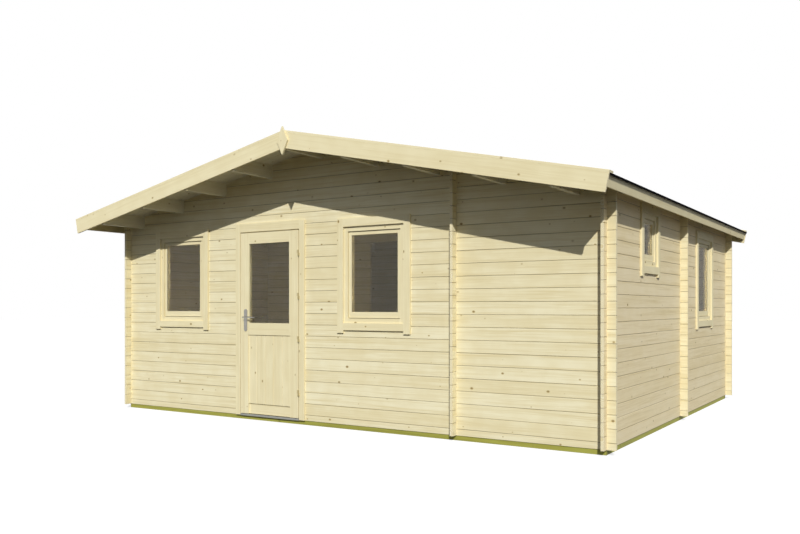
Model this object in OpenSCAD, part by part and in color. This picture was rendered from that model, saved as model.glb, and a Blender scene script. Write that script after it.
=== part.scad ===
// Log cabin of notched machined logs with a low gabled roof, two cross walls and a half-glazed door

/* [Cabin] */
// Width across the front, between the outer faces of the side walls
cabin_w = 5800; // [5400:50:6600]
// Depth between the outer faces of the front and rear walls
cabin_d = 4820; // [4400:20:5600]
// Height of the side walls' outer face above the lowest log
side_wall_h = 2153; // [2050:1:2400]
// Middle of the wall that runs front to back, from the right wall's outer face
partition_x = 1389; // [1100:1:1650]
// Middle of the wall that runs side to side, from the front wall's outer face
partition_y = 2411; // [2000:10:2700]

/* [Logs] */
// Height of one course of logs
log_h = 114; // [100:2:130]
// Thickness of a log
log_t = 28; // [24:1:44]
// Length of a log end past the crossing wall's outer face
log_end = 75; // [50:5:120]
// Depth of the bevel along each log's edges
log_bevel = 4; // [2:0.5:6]

/* [Roof] */
// Slope of the roof in degrees
roof_pitch = 11.9; // [9:0.1:18]
// From the front wall to the back of the front barge boards
front_overhang = 565; // [300:5:800]
// From the rear wall to the back of the rear barge boards
rear_overhang = 240; // [100:5:400]
// Level reach of the roof boards past the side walls
eave_reach = 175; // [120:1:320]
// Thickness of the roof boards
roof_board_t = 20; // [16:1:28]
// Thickness of the roofing felt
felt_t = 4; // [3:0.5:8]
// Reach of the felt past the ends of the roof boards
felt_lip = 38; // [25:1:60]
// Depth of the felt's edge that is folded down at the eaves
felt_fold = 12; // [5:1:30]
// Thickness of a purlin
purlin_t = 45; // [35:1:70]
// Height of a purlin
purlin_h = 135; // [100:1:145]
// From the ridge to the middle of the first purlin on a slope
purlin_first = 675; // [400:5:900]
// From a side wall's outer face to the middle of the lowest purlin
purlin_last = 245; // [150:5:400]
// Distance between purlins, as nearly as they divide evenly
purlin_gap = 660; // [500:5:800]

/* [Roof trim] */
// Width of the barge boards
barge_w = 146; // [110:1:180]
// Reach of the barge boards past the ends of the roof boards
barge_reach = 28; // [20:1:45]
// Thickness of the barge boards
barge_t = 20; // [16:1:30]
// Width of the flat cover boards on the roof's edges
cover_w = 95; // [60:1:140]
// Thickness of the cover boards
cover_t = 20; // [14:1:28]
// Height of the diamond on each gable's point
finial_h = 272; // [180:2:320]
// Width of the diamond
finial_w = 130; // [90:1:180]
// Thickness of the diamond
finial_t = 20; // [12:1:28]
// Top of the diamond above the cover boards' point
finial_rise = 34; // [10:1:60]
// Thickness of the eave boards
eave_board_t = 20; // [14:1:28]
// Depth of the eave boards below the roof boards
eave_board_h = 77; // [60:1:120]

/* [Windows] */
// Width between the casing boards of the large windows
window_w = 700; // [560:10:800]
// Height between the casing boards of the large windows
window_h = 938; // [700:2:940]
// Lower edge of the large windows above the lowest log
window_sill = 994; // [900:2:1000]
// Middle of the front left window, from the left wall's outer face
left_window_x = 899; // [650:10:1000]
// Middle of the front right window, from the left wall's outer face
right_window_x = 3523; // [3350:2:3650]
// Middle of the large side window, from the front wall's outer face
side_window_y = 3520; // [3250:10:3800]
// Width between the casing boards of the small window
small_window_w = 470; // [360:10:600]
// Height between the casing boards of the small window
small_window_h = 482; // [380:2:500]
// Lower edge of the small window above the lowest log
small_window_sill = 1529; // [1300:1:1535]
// Middle of the small window, from the front wall's outer face
small_window_y = 1230; // [800:10:1500]
// Width of the upright casing boards and the lower one
casing_w = 71; // [60:1:100]
// Height of the casing board over a window
window_head_w = 82; // [60:1:120]
// Thickness of the casing boards
casing_t = 20; // [14:1:26]
// Reach of the upright casing boards below the lower one
casing_horn = 28; // [0:1:40]
// Width of the fixed frame that shows inside the casing
frame_face = 45; // [30:1:60]
// Part of the fixed frame that lies under the casing
frame_lap = 20; // [10:1:40]
// Reach of the window frames past the wall's inner face
frame_reach = 50; // [45:1:70]
// Gap between a sash and its frame
sash_gap = 5; // [2:0.5:8]
// Thickness of a sash
sash_t = 48; // [40:1:50]
// Width of a sash's stiles and top rail
sash_stile = 33; // [25:1:60]
// Width of a sash's bottom rail
sash_bottom_rail = 58; // [30:1:80]
// How far a sash lies behind the wall's face
sash_recess = 14; // [8:1:18]
// How far the glass lies behind a sash's face
glass_set = 5; // [4:1:20]
// Overlap of a sash and its stop
stop_lap = 12; // [6:1:20]
// Thickness of the glass
glass_t = 8; // [4:1:14]
// Depth of the groove that holds the glass
glass_bite = 8; // [4:1:15]
// Room left above a frame for the logs to settle
settling_gap = 15; // [8:1:30]

/* [Door] */
// Middle of the door, from the left wall's outer face
door_x = 2214; // [2050:1:2400]
// Width of the door leaf
leaf_w = 790; // [720:2:840]
// Height of the door leaf
leaf_h = 1914; // [1850:1:1960]
// Thickness of the door leaf
leaf_t = 40; // [36:1:48]
// Width of the leaf's stiles
stile_w = 107; // [90:1:150]
// Width of the glazing beads at both sides of the door's glass
bead_w = 13; // [10:1:30]
// Height of the top rail
top_rail = 116; // [90:1:150]
// Height of the middle rail
mid_rail = 127; // [90:1:160]
// Height of the bottom rail
bottom_rail = 107; // [80:1:200]
// How far the bottom rail lies behind the leaf's face
rail_setback = 20; // [12:1:24]
// Height of the glass in the door
door_glass_h = 836; // [600:5:900]
// Width of one board in the door's lower panel
panel_board_w = 130; // [90:1:160]
// Thickness of the lower panel
panel_t = 20; // [12:1:26]
// Clearance round the door leaf
door_gap = 5; // [5:0.5:8]
// Thickness of the door frame
jamb_t = 37; // [28:1:50]
// Reach of the door frame past the wall's inner face
jamb_reach = 20; // [5:1:40]
// Width of the upright casing boards beside the door
door_casing_w = 66; // [55:1:90]
// Height of the casing board over the door
door_head_w = 90; // [60:1:120]
// How far the door's casing lies back from the frame's edge
casing_reveal = 5; // [2:0.5:10]
// Width of the stop strips that the door closes on
door_stop_w = 15; // [10:1:25]
// Thickness of the threshold
threshold_t = 15; // [10:1:25]
// Reach of the threshold in front of the wall
threshold_nose = 20; // [10:1:60]
// Drop of the threshold's front lip
threshold_lip = 4; // [1:1:25]

/* [Door fittings] */
// Height of a hinge barrel
hinge_h = 62; // [40:1:90]
// Radius of a hinge barrel
hinge_r = 6.5; // [5:0.5:7]
// Radius of a hinge pin
pin_r = 3.2; // [2:0.1:4]
// Clearance between a pin and its bore
pin_clearance = 0.3; // [0.2:0.05:0.5]
// Gap between a hinge barrel and the door's face
hinge_stand = 1.5; // [1:0.5:3]
// Heights of the hinges above the lowest log
hinge_z = [276, 824, 1262, 1700]; // [200:1:1800]
// Height of the lever above the lowest log
lever_z = 1042; // [950:1:1100]
// Length of the lever
lever_l = 165; // [100:1:180]
// Radius of the lever
lever_r = 7; // [6:0.5:12]
// Distance of the lever from the door's face
lever_reach = 48; // [35:1:70]
// Height of the handle plate
plate_h = 235; // [180:1:280]
// Width of the handle plate
plate_w = 43; // [30:1:50]
// Thickness of the handle plate
plate_t = 7; // [3:1:12]
// Middle of the handle plate from the leaf's edge
plate_inset = 72; // [40:1:75]
// Height of the lever above the middle of the plate
lever_above_plate = 32; // [0:1:60]

/* [Rooms] */
// Width of the doorways in the inner walls
inner_door_w = 760; // [650:10:900]
// Middle of the front room's side doorway, from the front wall's outer face
front_doorway_y = 1300; // [900:10:1500]
// Middle of the rear room's side doorway, from the front wall's outer face
rear_doorway_y = 3600; // [3300:10:3800]
// Middle of the doorway between the front and rear rooms, from the left wall's outer face
middle_doorway_x = 2208; // [1200:10:3400]
// Height of the inner doorways above the lowest log
inner_door_h = 1960; // [1850:10:2000]

/* [Ground frame] */
// Height of the foundation beams
beam_h = 45; // [35:1:90]
// Width of the foundation beams
beam_w = 70; // [60:1:120]
// From a wall's outer face back to the foundation beams
beam_setback = 8; // [0:1:15]
// Distance between the floor joists, as nearly as they divide evenly
joist_gap = 620; // [400:10:900]
// Thickness of the floor boards
floor_t = 19; // [15:1:28]
// Gap between the floor and the walls
floor_gap = 3; // [1:0.5:10]

/* [Hidden] */
// Fine gap left where two boards of one set butt together
butt_gap = 0.4;
// Fine gap left between the layers that lie on the roof's slope
lay_gap = 0.05;
// Amount by which a cut runs past the faces that it cuts
cut_over = 1;
$fn = 48;

// Directions of the roof
slope_tan = tan(roof_pitch);
slope_cos = cos(roof_pitch);
slope_sin = sin(roof_pitch);
slope_len = (cabin_w / 2 + eave_reach) / slope_cos;
barge_len = slope_len + barge_reach;
felt_top = roof_board_t + felt_t;
roof_top = felt_top + cover_t;

// Outer faces of the walls, with the origin under the middle of the whole roof
left_x = -cabin_w / 2;
right_x = cabin_w / 2;
trim_t = barge_t + finial_t;
front_y = (front_overhang - rear_overhang - cabin_d) / 2;
rear_y = front_y + cabin_d;
roof_front = front_y - front_overhang;
roof_rear = rear_y + rear_overhang;

// Low faces of the walls that cross one another
wall_rows = [front_y, front_y + partition_y - log_t / 2, rear_y - log_t];
wall_lines = [left_x, right_x - partition_x - log_t / 2, right_x - log_t];
mid_row = wall_rows[1];
mid_line = wall_lines[1];

// Door opening
door_mid = left_x + door_x;
leaf_z = threshold_t + door_gap;
leaf_left = door_mid - leaf_w / 2;
leaf_right = door_mid + leaf_w / 2;
clear_left = leaf_left - door_gap;
clear_right = leaf_right + door_gap;
clear_top = leaf_z + leaf_h + door_gap;
doorway_left = clear_left - jamb_t;
doorway_right = clear_right + jamb_t;
frame_top = clear_top + jamb_t;
leaf_front = front_y - casing_t;
leaf_back = leaf_front + leaf_t;
frame_back = front_y + log_t + jamb_reach;
casing_left = clear_left - casing_reveal;
casing_right = clear_right + casing_reveal;
casing_under = clear_top + casing_reveal;
hinge_x = (leaf_right + casing_right) / 2;
hinge_y = leaf_front - hinge_r - hinge_stand;
handle_x = leaf_left + plate_inset;
panel_w = leaf_w - 2 * stile_w;
door_glass_w = panel_w - 2 * bead_w;
panel_z = leaf_z + bottom_rail;
glass_z = leaf_z + leaf_h - top_rail - door_glass_h;
panel_h = glass_z - mid_rail - panel_z;

// Heights of the walls and the ridge
ridge_z = side_wall_h + cabin_w / 2 * slope_tan;
courses = ceil(ridge_z / log_h);
above_ridge = [[cabin_w, ridge_z + log_h], [-cabin_w, ridge_z + log_h]];

// Purlins on each slope, as far from the ridge as they lie
purlin_span = cabin_w / 2 - purlin_first - purlin_last;
purlin_bays = max(1, round(purlin_span / purlin_gap));
purlin_lines = [for (i = [0:purlin_bays]) purlin_first + i * purlin_span / purlin_bays];

// Seams at which the walls are parted, and the lowest whole log over the door
front_head = seam_above(side_wall_h - 2 * log_h, log_h / 2);
lintel_base = seam_above(frame_top, log_h / 2);
row_head = seam_above(inner_door_h, log_h / 2);
line_head = seam_above(inner_door_h, log_h);

// Doorways in the inner walls
middle_doorway = doorway_span(left_x + middle_doorway_x);
front_doorway = doorway_span(front_y + front_doorway_y);
rear_doorway = doorway_span(front_y + rear_doorway_y);

spruce = "#e8ddb4";
planed_spruce = "#ecdfae";
treated_green = "#97963f";
felt_black = "#2b2b29";
clear_glass = "#7d8688";
satin_steel = "#b9bab6";
dull_grey = "#8d8c86";

// Height of the first seam at or above a level, in a wall whose lowest seam is given
function seam_above(level, first) = first + log_h * ceil((level - first) / log_h);

// Both sides of an inner doorway
function doorway_span(middle) = [middle - inner_door_w / 2, middle + inner_door_w / 2];

// Height of the roof boards' underside at a distance from the ridge
function roof_under(d) = ridge_z - abs(d) * slope_tan;

// Outline of the purlin at a distance from the ridge, from one of its upper corners round to the other
function purlin_slot(d) = [
    [d - purlin_t / 2, roof_under(d - purlin_t / 2)],
    [d - purlin_t / 2, roof_under(d) - purlin_h],
    [d + purlin_t / 2, roof_under(d) - purlin_h],
    [d + purlin_t / 2, roof_under(d + purlin_t / 2)]
];

function is_seam(z, first) = abs(z - first - log_h * round((z - first) / log_h)) < 0.01;

// Edge of a stack of logs, with a bevel on each side of every seam
function log_edge(z0, z1, first) = concat(
    is_seam(z0, first) && z0 > 0 ? [[log_bevel, z0], [0, z0 + log_bevel]] : [[0, z0]],
    [for (s = [first:log_h:z1 - 2 * log_bevel]) if (s > z0 + log_bevel)
        each [[0, s - log_bevel], [log_bevel, s], [0, s + log_bevel]]],
    is_seam(z1, first) ? [[0, z1 - log_bevel], [log_bevel, z1]] : [[0, z1]]
);

// Section of a log wall from its outer face to its inner face
function log_section(z0, z1, first) = let (edge = log_edge(z0, z1, first)) concat(
    edge,
    [for (i = [len(edge) - 1:-1:0]) [log_t - edge[i][0], edge[i][1]]]
);

// Point on the right roof slope, from its way down the slope and its height over the roof boards' underside
function on_slope(down, over) = [
    down * slope_cos + over * slope_sin,
    ridge_z - down * slope_sin + over * slope_cos
];

// Outline of a layer of the right roof slope, between two heights over the roof boards' underside
function slope_layer(low, high, reach, from = 0) = [
    [from, ridge_z - from * slope_tan + low / slope_cos],
    on_slope(reach, low),
    on_slope(reach, high),
    [from, ridge_z - from * slope_tan + high / slope_cos]
];

module above_beams() {
    translate([0, 0, beam_h]) children();
}

// Drives an outline drawn in X and Z along Y
module along_y(y0, y1) {
    translate([0, y1, 0]) rotate([90, 0, 0]) linear_extrude(y1 - y0) children();
}

// Drives an outline drawn in Y and Z along X
module along_x(x0, x1) {
    translate([x0, 0, 0]) rotate([90, 0, 90]) linear_extrude(x1 - x0) children();
}

module box(low, high) {
    translate(low) cube(high - low);
}

module both_slopes() {
    children();
    mirror([1, 0, 0]) children();
}

// Logs that run side to side, which start with half a log
module logs_x(x0, x1, y, z0, z1) {
    translate([0, y, 0]) along_x(x0, x1) polygon(log_section(z0, z1, log_h / 2));
}

// Logs that run front to back, which start with a whole log
module logs_y(y0, y1, x, z0, z1) {
    translate([x, 0, 0]) along_y(y0, y1) polygon(log_section(z0, z1, log_h));
}

// Notches in a side-to-side wall, where the logs of the front-to-back walls pass through it
module notches_x(y) {
    for (x = wall_lines, k = [0:courses])
        translate([x, y - cut_over, log_h * (k + 1 / 4)])
            cube([log_t, log_t + 2 * cut_over, log_h / 2]);
}

// Notches in a front-to-back wall, where the logs of the side-to-side walls pass through it
module notches_y(x) {
    for (y = wall_rows, k = [0:courses])
        translate([x - cut_over, y, log_h * (k - 1 / 4)])
            cube([log_t + 2 * cut_over, log_t, log_h / 2]);
}

// Everything above the roof boards' underside
module roof_cut() {
    along_y(roof_front, roof_rear) polygon(concat(
        [[-cabin_w, roof_under(cabin_w)], [0, ridge_z], [cabin_w, roof_under(cabin_w)]],
        above_ridge
    ));
}

// The same with the slots in which the purlins lie
module slotted_roof_cut() {
    along_y(roof_front, roof_rear) polygon(concat(
        [[-cabin_w, roof_under(cabin_w)]],
        [for (i = [purlin_bays:-1:0]) each purlin_slot(-purlin_lines[i])],
        purlin_slot(0),
        [for (d = purlin_lines) each purlin_slot(d)],
        [[cabin_w, roof_under(cabin_w)]],
        above_ridge
    ));
}

module slope_purlins() {
    for (d = purlin_lines) along_y(roof_front, roof_rear) polygon(purlin_slot(d));
}

// Places a piece in a window opening: X along the wall, Y inwards from its outer face, Z up from the sill
module in_front_wall(x, sill) {
    translate([left_x + x, front_y, sill]) children();
}

module in_right_wall(y, sill) {
    translate([right_x, front_y + y, sill]) rotate([0, 0, 90]) children();
}

module window_hole(w, h) {
    box([-w / 2 - frame_lap, -cut_over, -frame_lap],
        [w / 2 + frame_lap, log_t + cut_over, h + frame_lap + settling_gap]);
}

module casing_boards(w, h) {
    for (x = [-w / 2 - casing_w, w / 2])
        box([x, -casing_t, -casing_w - casing_horn], [x + casing_w, 0, h + window_head_w]);
    box([-w / 2 + butt_gap, -casing_t, -casing_w], [w / 2 - butt_gap, 0, 0]);
    box([-w / 2 + butt_gap, -casing_t, h], [w / 2 - butt_gap, 0, h + window_head_w]);
}

module window_frame(w, h) {
    lap = frame_lap;
    face = frame_face;
    inner = face + sash_gap + stop_lap;
    back = log_t + frame_reach;
    difference() {
        box([-w / 2 - lap, 0, -lap], [w / 2 + lap, back, h + lap]);
        box([-w / 2 + face, -cut_over, face], [w / 2 - face, sash_recess + sash_t, h - face]);
        box([-w / 2 + inner, 0, inner], [w / 2 - inner, back + cut_over, h - inner]);
    }
}

// Corners of the pane, with the part of it that lies in the sash
module pane(w, h) {
    edge = frame_face + sash_gap + sash_stile - glass_bite;
    low = frame_face + sash_gap + sash_bottom_rail - glass_bite;
    y = sash_recess + glass_set;
    box([-w / 2 + edge, y, low], [w / 2 - edge, y + glass_t, h - edge]);
}

module sash(w, h) {
    out = frame_face + sash_gap;
    side = out + sash_stile;
    low = out + sash_bottom_rail;
    difference() {
        box([-w / 2 + out, sash_recess, out], [w / 2 - out, sash_recess + sash_t, h - out]);
        box([-w / 2 + side, 0, low], [w / 2 - side, sash_recess + sash_t + cut_over, h - side]);
        pane(w, h);
    }
}

module front_window_holes() {
    for (x = [left_window_x, right_window_x])
        in_front_wall(x, window_sill) window_hole(window_w, window_h);
}

module foundation_beams() {
    color(treated_green)
        for (y = [front_y + beam_setback, mid_row + log_t / 2 - beam_w / 2, rear_y - beam_setback - beam_w])
            box([left_x + beam_setback, y, 0], [right_x - beam_setback, y + beam_w, beam_h]);
}

// Joists between the beams, under the side walls, the long partition and the floor
module floor_joists() {
    left = left_x + beam_setback;
    right = right_x - beam_setback - beam_w;
    middle = mid_line + log_t / 2 - beam_w / 2;
    left_bays = round((middle - left) / joist_gap);
    right_bays = round((right - middle) / joist_gap);
    starts = concat(
        [for (i = [0:left_bays]) left + i * (middle - left) / left_bays],
        [for (i = [1:right_bays]) middle + i * (right - middle) / right_bays]
    );
    rows = [front_y + beam_setback + beam_w, mid_row + log_t / 2 - beam_w / 2];
    ends = [mid_row + log_t / 2 - beam_w / 2, rear_y - beam_setback - beam_w];
    color(treated_green)
        for (x = starts) {
            box([x, rows[0], 0], [x + beam_w, ends[0], beam_h]);
            box([x, rows[1] + beam_w, 0], [x + beam_w, ends[1], beam_h]);
        }
}

// Floor boards of the four rooms, joined through the doorways and cut round the door frame
module floor() {
    color(planed_spruce) above_beams() {
        difference() {
            for (i = [0:1], j = [0:1])
                box([wall_lines[i] + log_t + floor_gap, wall_rows[j] + log_t + floor_gap, 0],
                    [wall_lines[i + 1] - floor_gap, wall_rows[j + 1] - floor_gap, floor_t]);
            box([doorway_left - floor_gap, front_y, -cut_over],
                [doorway_right + floor_gap, frame_back + floor_gap, floor_t + cut_over]);
        }
        for (span = [front_doorway, rear_doorway])
            box([mid_line - floor_gap - cut_over, span[0] + floor_gap, 0],
                [mid_line + log_t + floor_gap + cut_over, span[1] - floor_gap, floor_t]);
        box([middle_doorway[0] + floor_gap, mid_row - floor_gap - cut_over, 0],
            [middle_doorway[1] - floor_gap, mid_row + log_t + floor_gap + cut_over, floor_t]);
    }
}

module front_wall_left() {
    color(spruce) above_beams() difference() {
        logs_x(left_x - log_end, doorway_left, front_y, 0, front_head);
        notches_x(front_y);
        front_window_holes();
    }
}

module front_wall_right() {
    color(spruce) above_beams() difference() {
        logs_x(doorway_right, right_x + log_end, front_y, 0, front_head);
        notches_x(front_y);
        front_window_holes();
    }
}

// Gable with any logs that lie between it and the door, cut for a door that reaches up into it
module front_gable() {
    color(spruce) above_beams() difference() {
        union() {
            logs_x(left_x - log_end, right_x + log_end, front_y, front_head, ridge_z);
            if (lintel_base < front_head)
                logs_x(doorway_left, doorway_right, front_y, lintel_base, front_head);
        }
        notches_x(front_y);
        front_window_holes();
        box([doorway_left, front_y - cut_over, 0], [doorway_right, front_y + log_t + cut_over, frame_top]);
        slotted_roof_cut();
    }
}

module rear_wall() {
    color(spruce) above_beams() difference() {
        logs_x(left_x - log_end, right_x + log_end, wall_rows[2], 0, ridge_z);
        notches_x(wall_rows[2]);
        slotted_roof_cut();
    }
}

module left_wall() {
    color(spruce) above_beams() difference() {
        logs_y(front_y - log_end, rear_y + log_end, left_x, 0, ridge_z);
        notches_y(left_x);
        roof_cut();
    }
}

module right_wall() {
    color(spruce) above_beams() difference() {
        logs_y(front_y - log_end, rear_y + log_end, wall_lines[2], 0, ridge_z);
        notches_y(wall_lines[2]);
        roof_cut();
        in_right_wall(side_window_y, window_sill) window_hole(window_w, window_h);
        in_right_wall(small_window_y, small_window_sill) window_hole(small_window_w, small_window_h);
    }
}

// Lengths of the front-to-back inner wall beside its two doorways
module long_partition() {
    spans = [
        [front_y - log_end, front_doorway[0]],
        [front_doorway[1], rear_doorway[0]],
        [rear_doorway[1], rear_y + log_end]
    ];
    color(spruce) above_beams() for (span = spans) difference() {
        logs_y(span[0], span[1], mid_line, 0, line_head);
        notches_y(mid_line);
    }
}

module long_partition_head() {
    color(spruce) above_beams() difference() {
        logs_y(front_y - log_end, rear_y + log_end, mid_line, line_head, ridge_z);
        notches_y(mid_line);
        slotted_roof_cut();
    }
}

// Lengths of the side-to-side inner wall beside its doorway
module cross_partition() {
    spans = [
        [left_x - log_end, middle_doorway[0]],
        [middle_doorway[1], right_x + log_end]
    ];
    color(spruce) above_beams() for (span = spans) difference() {
        logs_x(span[0], span[1], mid_row, 0, row_head);
        notches_x(mid_row);
    }
}

module cross_partition_gable() {
    color(spruce) above_beams() difference() {
        logs_x(left_x - log_end, right_x + log_end, mid_row, row_head, ridge_z);
        notches_x(mid_row);
        slotted_roof_cut();
    }
}

module ridge_purlin() {
    color(planed_spruce) above_beams()
        along_y(roof_front, roof_rear) polygon(concat(purlin_slot(0), [[0, ridge_z]]));
}

module right_purlins() {
    color(planed_spruce) above_beams() slope_purlins();
}

module left_purlins() {
    color(planed_spruce) above_beams() mirror([1, 0, 0]) slope_purlins();
}

module right_roof_boards() {
    color(planed_spruce) above_beams()
        along_y(roof_front, roof_rear) polygon(slope_layer(lay_gap, roof_board_t, slope_len));
}

module left_roof_boards() {
    mirror([1, 0, 0]) right_roof_boards();
}

// Sheet of felt with its edge folded down in front of the eave board
module right_roof_felt() {
    low = roof_board_t + lay_gap;
    out = slope_len + felt_lip;
    color(felt_black) above_beams() along_y(roof_front, roof_rear) polygon([
        [0, ridge_z + low / slope_cos],
        on_slope(out - felt_t, low),
        on_slope(out - felt_t, low - felt_fold),
        on_slope(out, low - felt_fold),
        on_slope(out, felt_top),
        [0, ridge_z + felt_top / slope_cos]
    ]);
}

module left_roof_felt() {
    mirror([1, 0, 0]) right_roof_felt();
}

module barge_pair(y0, y1) {
    color(planed_spruce) above_beams() both_slopes()
        along_y(y0, y1) polygon(slope_layer(felt_top - barge_w, felt_top, barge_len, butt_gap / 2));
}

module cover_pair(y0, y1) {
    color(planed_spruce) above_beams() both_slopes()
        along_y(y0, y1) polygon(slope_layer(felt_top + lay_gap, roof_top, barge_len, butt_gap / 2));
}

module front_barge_boards() {
    barge_pair(roof_front - barge_t, roof_front);
}

module rear_barge_boards() {
    barge_pair(roof_rear, roof_rear + barge_t);
}

module front_cover_boards() {
    cover_pair(roof_front - barge_t, roof_front - barge_t + cover_w);
}

module rear_cover_boards() {
    cover_pair(roof_rear + barge_t - cover_w, roof_rear + barge_t);
}

module diamond(y0, y1) {
    top = ridge_z + roof_top / slope_cos + finial_rise;
    color(planed_spruce) above_beams() along_y(y0, y1) polygon([
        [0, top],
        [finial_w / 2, top - finial_h / 2],
        [0, top - finial_h],
        [-finial_w / 2, top - finial_h / 2]
    ]);
}

module front_finial() {
    diamond(roof_front - trim_t, roof_front - barge_t);
}

module rear_finial() {
    diamond(roof_rear + barge_t, roof_rear + trim_t);
}

// Board nailed to the ends of the roof boards
module right_eave_board() {
    back = slope_len + lay_gap;
    face = slope_len + eave_board_t;
    color(planed_spruce) above_beams() along_y(roof_front, roof_rear) polygon([
        on_slope(back, -eave_board_h),
        on_slope(face, -eave_board_h),
        on_slope(face, roof_board_t),
        on_slope(back, roof_board_t)
    ]);
}

module left_eave_board() {
    mirror([1, 0, 0]) right_eave_board();
}

module window_casings() {
    color(planed_spruce) above_beams() {
        in_front_wall(left_window_x, window_sill) casing_boards(window_w, window_h);
        in_front_wall(right_window_x, window_sill) casing_boards(window_w, window_h);
        in_right_wall(side_window_y, window_sill) casing_boards(window_w, window_h);
        in_right_wall(small_window_y, small_window_sill) casing_boards(small_window_w, small_window_h);
    }
}

module window_frames() {
    color(planed_spruce) above_beams() {
        in_front_wall(left_window_x, window_sill) window_frame(window_w, window_h);
        in_front_wall(right_window_x, window_sill) window_frame(window_w, window_h);
        in_right_wall(side_window_y, window_sill) window_frame(window_w, window_h);
        in_right_wall(small_window_y, small_window_sill) window_frame(small_window_w, small_window_h);
    }
}

module window_sashes() {
    color(planed_spruce) above_beams() {
        in_front_wall(left_window_x, window_sill) sash(window_w, window_h);
        in_front_wall(right_window_x, window_sill) sash(window_w, window_h);
        in_right_wall(side_window_y, window_sill) sash(window_w, window_h);
        in_right_wall(small_window_y, small_window_sill) sash(small_window_w, small_window_h);
    }
}

module window_panes() {
    color(clear_glass) above_beams() {
        in_front_wall(left_window_x, window_sill) pane(window_w, window_h);
        in_front_wall(right_window_x, window_sill) pane(window_w, window_h);
        in_right_wall(side_window_y, window_sill) pane(window_w, window_h);
        in_right_wall(small_window_y, small_window_sill) pane(small_window_w, small_window_h);
    }
}

module door_frame() {
    color(planed_spruce) above_beams() {
        for (x = [doorway_left, clear_right])
            box([x, front_y, 0], [x + jamb_t, frame_back, clear_top - butt_gap]);
        box([doorway_left, front_y, clear_top], [doorway_right, frame_back, frame_top]);
    }
}

module door_stops() {
    y = leaf_back + door_gap;
    color(planed_spruce) above_beams() {
        for (x = [clear_left, clear_right - door_stop_w])
            box([x, y, threshold_t], [x + door_stop_w, frame_back, clear_top - door_stop_w - butt_gap]);
        box([clear_left, y, clear_top - door_stop_w], [clear_right, frame_back, clear_top]);
    }
}

module door_casing() {
    color(planed_spruce) above_beams() {
        for (x = [casing_left - door_casing_w, casing_right])
            box([x, front_y - casing_t, 0], [x + door_casing_w, front_y, casing_under + door_head_w]);
        box([casing_left + butt_gap, front_y - casing_t, casing_under],
            [casing_right - butt_gap, front_y, casing_under + door_head_w]);
    }
}

module door_threshold() {
    nose = front_y - threshold_nose;
    color(dull_grey) above_beams() along_x(clear_left, clear_right) polygon([
        [nose, -threshold_lip],
        [front_y, -threshold_lip],
        [front_y, 0],
        [frame_back, 0],
        [frame_back, threshold_t],
        [nose, threshold_t]
    ]);
}

// Tab that fixes a hinge half to the face behind it
module hinge_tab(x0, x1, z0, z1) {
    box([x0, hinge_y, z0], [x1, leaf_front, z1]);
}

module hinge_pins() {
    half = hinge_h / 2;
    end = casing_right + hinge_r;
    color(satin_steel) above_beams() for (z = hinge_z) {
        translate([hinge_x, hinge_y, z - half]) cylinder(r = hinge_r, h = half);
        translate([hinge_x, hinge_y, z - cut_over]) cylinder(r = pin_r, h = half);
        hinge_tab(casing_right, end, z - half, z - cut_over);
        box([hinge_x, hinge_y - hinge_r / 2, z - half], [end, hinge_y + hinge_r / 4, z - cut_over]);
    }
}

module hinge_knuckles() {
    half = hinge_h / 2;
    low = butt_gap;
    end = leaf_right - hinge_r;
    color(satin_steel) above_beams() for (z = hinge_z) difference() {
        union() {
            translate([hinge_x, hinge_y, z + low]) cylinder(r = hinge_r, h = half - low);
            hinge_tab(end, leaf_right, z + low, z + half);
            box([end, hinge_y - hinge_r / 2, z + low], [hinge_x, hinge_y + hinge_r / 4, z + half]);
        }
        translate([hinge_x, hinge_y, z - cut_over]) cylinder(r = pin_r + pin_clearance, h = hinge_h);
    }
}

// Corners of the door's glass and panel, with the parts of them that lie in the leaf's grooves
module door_pane() {
    y = (leaf_front + leaf_back - glass_t) / 2;
    box([door_mid - door_glass_w / 2 - glass_bite, y, glass_z - glass_bite],
        [door_mid + door_glass_w / 2 + glass_bite, y + glass_t, glass_z + door_glass_h + glass_bite]);
}

module panel_slab() {
    y = (leaf_front + leaf_back - panel_t) / 2;
    box([door_mid - panel_w / 2 - glass_bite, y, panel_z - glass_bite],
        [door_mid + panel_w / 2 + glass_bite, y + panel_t, panel_z + panel_h + glass_bite]);
}

module door_leaf() {
    color(planed_spruce) above_beams() difference() {
        box([leaf_left, leaf_front, leaf_z], [leaf_right, leaf_back, leaf_z + leaf_h]);
        box([door_mid - door_glass_w / 2, leaf_front - cut_over, glass_z],
            [door_mid + door_glass_w / 2, leaf_back + cut_over, glass_z + door_glass_h]);
        box([door_mid - panel_w / 2, leaf_front - cut_over, panel_z],
            [door_mid + panel_w / 2, leaf_back + cut_over, panel_z + panel_h]);
        box([door_mid - panel_w / 2, leaf_front - cut_over, leaf_z - cut_over],
            [door_mid + panel_w / 2, leaf_front + rail_setback, panel_z + cut_over]);
        door_pane();
        panel_slab();
    }
}

// Upright boards of the lower panel, parted by grooves
module door_panel() {
    boards = round(panel_w / panel_board_w);
    pitch = panel_w / boards;
    y = (leaf_front + leaf_back - panel_t) / 2;
    bevel = panel_t / 8;
    color(planed_spruce) above_beams() difference() {
        panel_slab();
        for (i = [1:boards - 1], face = [y, y + panel_t])
            translate([door_mid - panel_w / 2 + i * pitch, face, panel_z])
                rotate([0, 0, 45])
                    translate([-bevel, -bevel, 0]) cube([2 * bevel, 2 * bevel, panel_h]);
    }
}

module door_glass() {
    color(clear_glass) above_beams() door_pane();
}

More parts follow.
